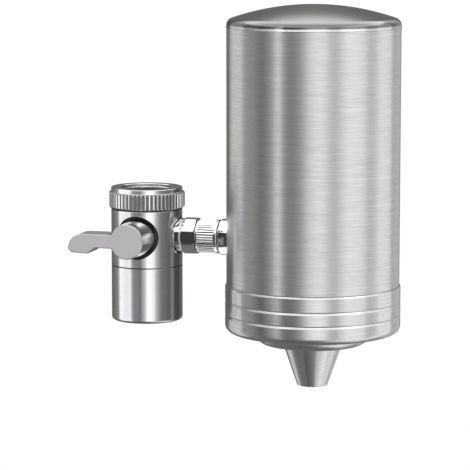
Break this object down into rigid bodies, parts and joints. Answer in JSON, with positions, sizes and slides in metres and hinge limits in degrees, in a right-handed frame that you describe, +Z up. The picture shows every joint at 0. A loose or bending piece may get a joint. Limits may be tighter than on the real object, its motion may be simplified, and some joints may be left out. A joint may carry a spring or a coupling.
{
  "type": "faucet mount water filter",
  "caption": "Domed brushed steel water filter with a spout cone, hung by a side union from a lever diverter valve with a fluted collar nut.",
  "frame": {"origin": "centre of the collar nut's mouth, where the spout thread enters", "axes": "+Z up, the way the spout leaves the nut; +X from the valve towards the filter housing; the lever's spindle points along -Y"},
  "size_m": [0.1254, 0.068, 0.1477],
  "materials": {
    "housing_steel": "horizontally brushed stainless steel",
    "base_steel": "fine turned stainless steel",
    "polished_nickel": "polished plating",
    "bright_chrome": "mirror bright plating",
    "lever_satin": "satin plated die casting",
    "steel_mesh": "punched stainless sheet",
    "ball_chrome": "polished ball",
    "turned_brass": "turned brass",
    "black_gland": "dark plated brass",
    "black_rubber": "matt rubber",
    "white_seat": "low friction plastic",
    "white_plastic": "moulded plastic",
    "filter_cloth": "pleated sediment cloth",
    "carbon": "pressed carbon block",
    "red_fibre": "fibre washer"
  },
  "bodies": {
    "filter": {"swivel_stem": "turned_brass", "inlet_washer": "black_rubber", "inlet_strainer": "steel_mesh", "valve_body": "polished_nickel", "upper_seat": "white_seat", "lower_seat": "white_seat", "side_seat": "white_seat", "seat_bush": "turned_brass", "gland_nut": "black_gland", "aerator_sleeve": "polished_nickel", "aerator_washer": "black_rubber", "aerator_strainer": "steel_mesh", "aerator_insert": "white_plastic", "side_nipple": "bright_chrome", "nipple_oring": "black_rubber", "union_gasket": "black_rubber", "union_tail": "turned_brass", "inlet_boss": "bright_chrome", "housing_shell": "housing_steel", "neck_ring": "base_steel"},
    "collar": {"collar_nut": "polished_nickel"},
    "union": {"union_nut": "bright_chrome"},
    "lever": {"lever_handle": "lever_satin", "lever_grub_screw": "black_gland", "spindle": "turned_brass", "spindle_oring": "black_rubber", "valve_ball": "ball_chrome"},
    "cartridge": {"base_seal": "black_rubber", "cartridge_upper_cap": "white_plastic", "cartridge_lower_cap": "white_plastic", "pleated_sleeve": "filter_cloth", "carbon_block": "carbon", "core_tube": "white_plastic", "spigot_oring_upper": "black_rubber", "spigot_oring_lower": "black_rubber"},
    "base": {"base_cap": "base_steel", "spout_cone": "base_steel", "cone_washer": "red_fibre", "cone_lock_nut": "base_steel"}
  },
  "joints": [
    {"name": "collar_nut_spin", "type": "hinge", "parent": "filter", "child": "collar", "pos_m": [0, 0, 0], "axis": [0, 0, 1], "continuous": true},
    {"name": "union_nut_spin", "type": "hinge", "parent": "filter", "child": "union", "pos_m": [0, 0, -0.0188], "axis": [1, 0, 0], "continuous": true},
    {"name": "lever_turn", "type": "hinge", "parent": "filter", "child": "lever", "pos_m": [0, 0, -0.0188], "axis": [0, -1, 0], "range_deg": [0, 90]},
    {"name": "base_travel", "type": "slide", "parent": "filter", "child": "cartridge", "axis": [0, 0, -1], "range_m": [0, 0.01255]},
    {"name": "base_turn", "type": "hinge", "parent": "cartridge", "child": "base", "pos_m": [0.0676, 0, 0], "axis": [0, 0, -1], "range_deg": [0, 1800]}
  ],
  "couplings": [
    {"joint": "base_travel", "follows": "base_turn", "m_per_rad": 0.00039789}
  ]
}
